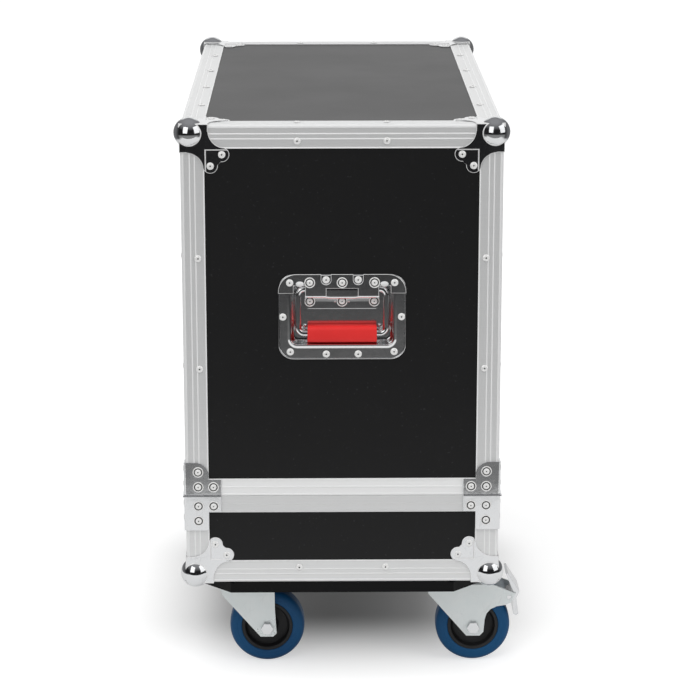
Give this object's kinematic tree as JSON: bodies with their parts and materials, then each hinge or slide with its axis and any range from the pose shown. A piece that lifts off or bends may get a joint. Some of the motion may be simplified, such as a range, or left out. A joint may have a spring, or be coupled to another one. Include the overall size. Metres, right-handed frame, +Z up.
{
  "type": "combo amp flight case",
  "caption": "Tall plywood flight case with a lift-off hood on a caster tray, ball corners, recessed end handles and twist latches.",
  "frame": {"origin": "on the floor under the middle of the case", "axes": "+Z up; Y along the case's length, with the pictured end facing -Y; X across its width"},
  "size_m": [0.476, 0.7968, 0.7525],
  "materials": {
    "laminate": "black fine-textured laminate on plywood",
    "aluminium": "satin reeded extrusion",
    "chrome": "polished plate",
    "zinc": "bright zinc plate",
    "foam": "closed-cell foam",
    "board": "black painted plywood",
    "grip": "moulded rubber",
    "tyre": "blue elastic rubber",
    "core": "black moulded nylon"
  },
  "bodies": {
    "tray": {"tray_floor_panel": "laminate", "tray_end_panels": "laminate", "tray_side_panels": "laminate", "tray_posts": "aluminium", "tray_bottom_edges": "aluminium", "tray_closure_rail": "aluminium", "tray_ball_corners": "chrome", "tray_braces": "chrome", "tray_rivets": "chrome", "tray_foam": "foam", "caster_boards": "board", "caster_plates": "zinc", "caster_bolts": "chrome", "latch_dishes": "chrome"},
    "hood": {"hood_top_panel": "laminate", "hood_end_panels": "laminate", "hood_side_panels": "laminate", "hood_posts": "aluminium", "hood_top_edges": "aluminium", "hood_closure_rail": "aluminium", "hood_ball_corners": "chrome", "hood_braces": "chrome", "hood_rivets": "chrome", "hood_foam": "foam", "latch_catches": "chrome", "handle_dishes": "chrome", "handle_covers": "chrome", "handle_hinge_plates": "chrome", "handle_rivets": "chrome"},
    "front_handle": {"front_bail": "chrome", "front_grip": "grip"},
    "rear_handle": {"rear_bail": "chrome", "rear_grip": "grip"},
    "caster_1": {"fork_1": "zinc", "axle_1": "chrome"},
    "wheel_1": {"tyre_1": "tyre", "wheel_core_1": "core"},
    "caster_2": {"fork_2": "zinc", "axle_2": "chrome"},
    "wheel_2": {"tyre_2": "tyre", "wheel_core_2": "core"},
    "brake_2": {"brake_pedal_2": "zinc"},
    "caster_3": {"fork_3": "zinc", "axle_3": "chrome"},
    "wheel_3": {"tyre_3": "tyre", "wheel_core_3": "core"},
    "caster_4": {"fork_4": "zinc", "axle_4": "chrome"},
    "wheel_4": {"tyre_4": "tyre", "wheel_core_4": "core"},
    "brake_4": {"brake_pedal_4": "zinc"},
    "key_1": {"latch_key_1": "chrome"},
    "hook_1": {"latch_hook_1": "chrome"},
    "key_2": {"latch_key_2": "chrome"},
    "hook_2": {"latch_hook_2": "chrome"},
    "key_3": {"latch_key_3": "chrome"},
    "hook_3": {"latch_hook_3": "chrome"},
    "key_4": {"latch_key_4": "chrome"},
    "hook_4": {"latch_hook_4": "chrome"}
  },
  "joints": [
    {"name": "hood_lift", "type": "slide", "parent": "tray", "child": "hood", "axis": [0, 0, 1], "range_m": [0, 0.6]},
    {"name": "front_handle_swing", "type": "hinge", "parent": "hood", "child": "front_handle", "pos_m": [0, -0.3835, 0.533], "axis": [-1, 0, 0], "range_deg": [0, 90], "stiffness_Nm_per_rad": 0.4, "springref_deg": -34.38},
    {"name": "rear_handle_swing", "type": "hinge", "parent": "hood", "child": "rear_handle", "pos_m": [0, 0.3835, 0.533], "axis": [1, 0, 0], "range_deg": [0, 90], "stiffness_Nm_per_rad": 0.4, "springref_deg": -34.38},
    {"name": "swivel_1", "type": "hinge", "parent": "tray", "child": "caster_1", "pos_m": [-0.138, -0.288, 0.12], "axis": [0, 0, 1], "continuous": true},
    {"name": "wheel_spin_1", "type": "hinge", "parent": "caster_1", "child": "wheel_1", "pos_m": [-0.1, -0.288, 0.05], "axis": [0, 1, 0], "continuous": true},
    {"name": "swivel_2", "type": "hinge", "parent": "tray", "child": "caster_2", "pos_m": [0.138, -0.288, 0.12], "axis": [0, 0, 1], "continuous": true},
    {"name": "wheel_spin_2", "type": "hinge", "parent": "caster_2", "child": "wheel_2", "pos_m": [0.176, -0.288, 0.05], "axis": [0, 1, 0], "continuous": true},
    {"name": "brake_press_2", "type": "hinge", "parent": "caster_2", "child": "brake_2", "pos_m": [0.224, -0.288, 0.092], "axis": [0, 1, 0], "range_deg": [0, 12]},
    {"name": "swivel_3", "type": "hinge", "parent": "tray", "child": "caster_3", "pos_m": [0.138, 0.288, 0.12], "axis": [0, 0, 1], "continuous": true},
    {"name": "wheel_spin_3", "type": "hinge", "parent": "caster_3", "child": "wheel_3", "pos_m": [0.1, 0.288, 0.05], "axis": [0, 1, 0], "continuous": true},
    {"name": "swivel_4", "type": "hinge", "parent": "tray", "child": "caster_4", "pos_m": [-0.138, 0.288, 0.12], "axis": [0, 0, 1], "continuous": true},
    {"name": "wheel_spin_4", "type": "hinge", "parent": "caster_4", "child": "wheel_4", "pos_m": [-0.176, 0.288, 0.05], "axis": [0, 1, 0], "continuous": true},
    {"name": "brake_press_4", "type": "hinge", "parent": "caster_4", "child": "brake_4", "pos_m": [-0.224, 0.288, 0.092], "axis": [0, -1, 0], "range_deg": [0, 12]},
    {"name": "key_turn_1", "type": "hinge", "parent": "tray", "child": "key_1", "pos_m": [0.202, -0.2, 0.235], "axis": [1, 0, 0], "range_deg": [0, 180]},
    {"name": "hook_swing_1", "type": "hinge", "parent": "tray", "child": "hook_1", "pos_m": [0.202, -0.2, 0.235], "axis": [1, 0, 0], "range_deg": [0, 90]},
    {"name": "key_turn_2", "type": "hinge", "parent": "tray", "child": "key_2", "pos_m": [0.202, 0.2, 0.235], "axis": [1, 0, 0], "range_deg": [0, 180]},
    {"name": "hook_swing_2", "type": "hinge", "parent": "tray", "child": "hook_2", "pos_m": [0.202, 0.2, 0.235], "axis": [1, 0, 0], "range_deg": [0, 90]},
    {"name": "key_turn_3", "type": "hinge", "parent": "tray", "child": "key_3", "pos_m": [-0.202, 0.2, 0.235], "axis": [-1, 0, 0], "range_deg": [0, 180]},
    {"name": "hook_swing_3", "type": "hinge", "parent": "tray", "child": "hook_3", "pos_m": [-0.202, 0.2, 0.235], "axis": [-1, 0, 0], "range_deg": [0, 90]},
    {"name": "key_turn_4", "type": "hinge", "parent": "tray", "child": "key_4", "pos_m": [-0.202, -0.2, 0.235], "axis": [-1, 0, 0], "range_deg": [0, 180]},
    {"name": "hook_swing_4", "type": "hinge", "parent": "tray", "child": "hook_4", "pos_m": [-0.202, -0.2, 0.235], "axis": [-1, 0, 0], "range_deg": [0, 90]}
  ],
  "couplings": [
    {"joint": "hook_swing_1", "follows": "key_turn_1", "ratio": 0.5},
    {"joint": "hook_swing_2", "follows": "key_turn_2", "ratio": 0.5},
    {"joint": "hook_swing_3", "follows": "key_turn_3", "ratio": 0.5},
    {"joint": "hook_swing_4", "follows": "key_turn_4", "ratio": 0.5}
  ]
}
